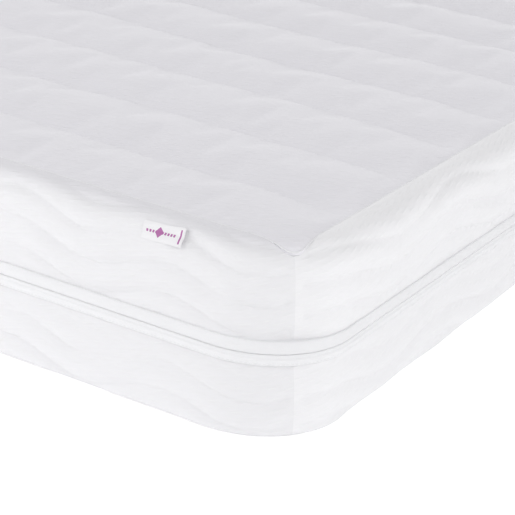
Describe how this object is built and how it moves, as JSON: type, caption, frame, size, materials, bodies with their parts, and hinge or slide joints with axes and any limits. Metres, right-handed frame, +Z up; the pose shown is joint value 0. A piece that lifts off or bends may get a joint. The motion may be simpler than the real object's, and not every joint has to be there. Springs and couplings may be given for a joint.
{
  "type": "pressure relief mattress",
  "caption": "Pressure relief mattress with a channelled foam core in a liner and a quilted knit cover that unzips round its perimeter.",
  "frame": {"origin": "centre of the underside, on the surface that the mattress lies on", "axes": "+X to the mattress's right side seen from the foot end, +Y towards the head end, +Z up"},
  "size_m": [0.9009, 2.0016, 0.18],
  "materials": {
    "cover_knit": "white stretch knit, quilted",
    "cover_base": "plain white woven lining",
    "wadding": "polyester fibre",
    "tape": "woven herringbone tape",
    "zip_chain": "moulded nylon coil",
    "zip_slider": "white lacquered zinc",
    "woven_label": "woven satin with purple marks",
    "care_label": "smooth printed ribbon",
    "liner": "thin ribbed knit",
    "base_foam": "open-cell polyurethane foam, firm",
    "rail_foam": "open-cell polyurethane foam, extra firm",
    "zone_foam": "open-cell polyurethane foam, soft",
    "top_foam": "slow-recovery viscoelastic foam"
  },
  "bodies": {
    "lower_cover": {"base_panel": "cover_base", "lower_border_foot": "cover_knit", "lower_border_right": "cover_knit", "lower_border_head": "cover_knit", "lower_border_left": "cover_knit", "lower_corner_tape_foot_right": "tape", "lower_corner_tape_head_right": "tape", "lower_corner_tape_head_left": "tape", "lower_corner_tape_foot_left": "tape", "lower_zip_binding": "cover_knit", "lower_zip_tape": "tape", "lower_zip_chain": "zip_chain", "zip_end_patch": "tape", "care_label": "care_label"},
    "core": {"liner": "liner", "base_foam": "base_foam", "left_rail_foam": "rail_foam", "right_rail_foam": "rail_foam", "heel_zone_foam": "zone_foam", "body_zone_foam": "zone_foam", "head_zone_foam": "zone_foam", "top_foam": "top_foam"},
    "upper_cover": {"top_panel": "cover_knit", "top_wadding": "wadding", "top_edge_seam": "tape", "upper_border_foot": "cover_knit", "upper_border_right": "cover_knit", "upper_border_head": "cover_knit", "upper_border_left": "cover_knit", "upper_corner_tape_foot_right": "tape", "upper_corner_tape_head_right": "tape", "upper_corner_tape_head_left": "tape", "upper_corner_tape_foot_left": "tape", "upper_zip_binding": "cover_knit", "upper_zip_tape": "tape", "upper_zip_chain": "zip_chain", "woven_label": "woven_label"},
    "slider": {"zip_slider": "zip_slider"},
    "tab": {"pull_tab": "zip_slider"}
  },
  "joints": [
    {"name": "core_lift", "type": "slide", "parent": "lower_cover", "child": "core", "axis": [0, 0, 1], "range_m": [0, 0.25]},
    {"name": "cover_lift", "type": "slide", "parent": "core", "child": "upper_cover", "axis": [0, 0, 1], "range_m": [0, 0.25]},
    {"name": "slider_travel", "type": "slide", "parent": "lower_cover", "child": "slider", "axis": [0, -1, 0], "range_m": [0, 1.65]},
    {"name": "tab_fold", "type": "hinge", "parent": "slider", "child": "tab", "pos_m": [-0.44995, 0.8037, 0.079], "axis": [0, 0, -1], "range_deg": [0, 170]}
  ]
}
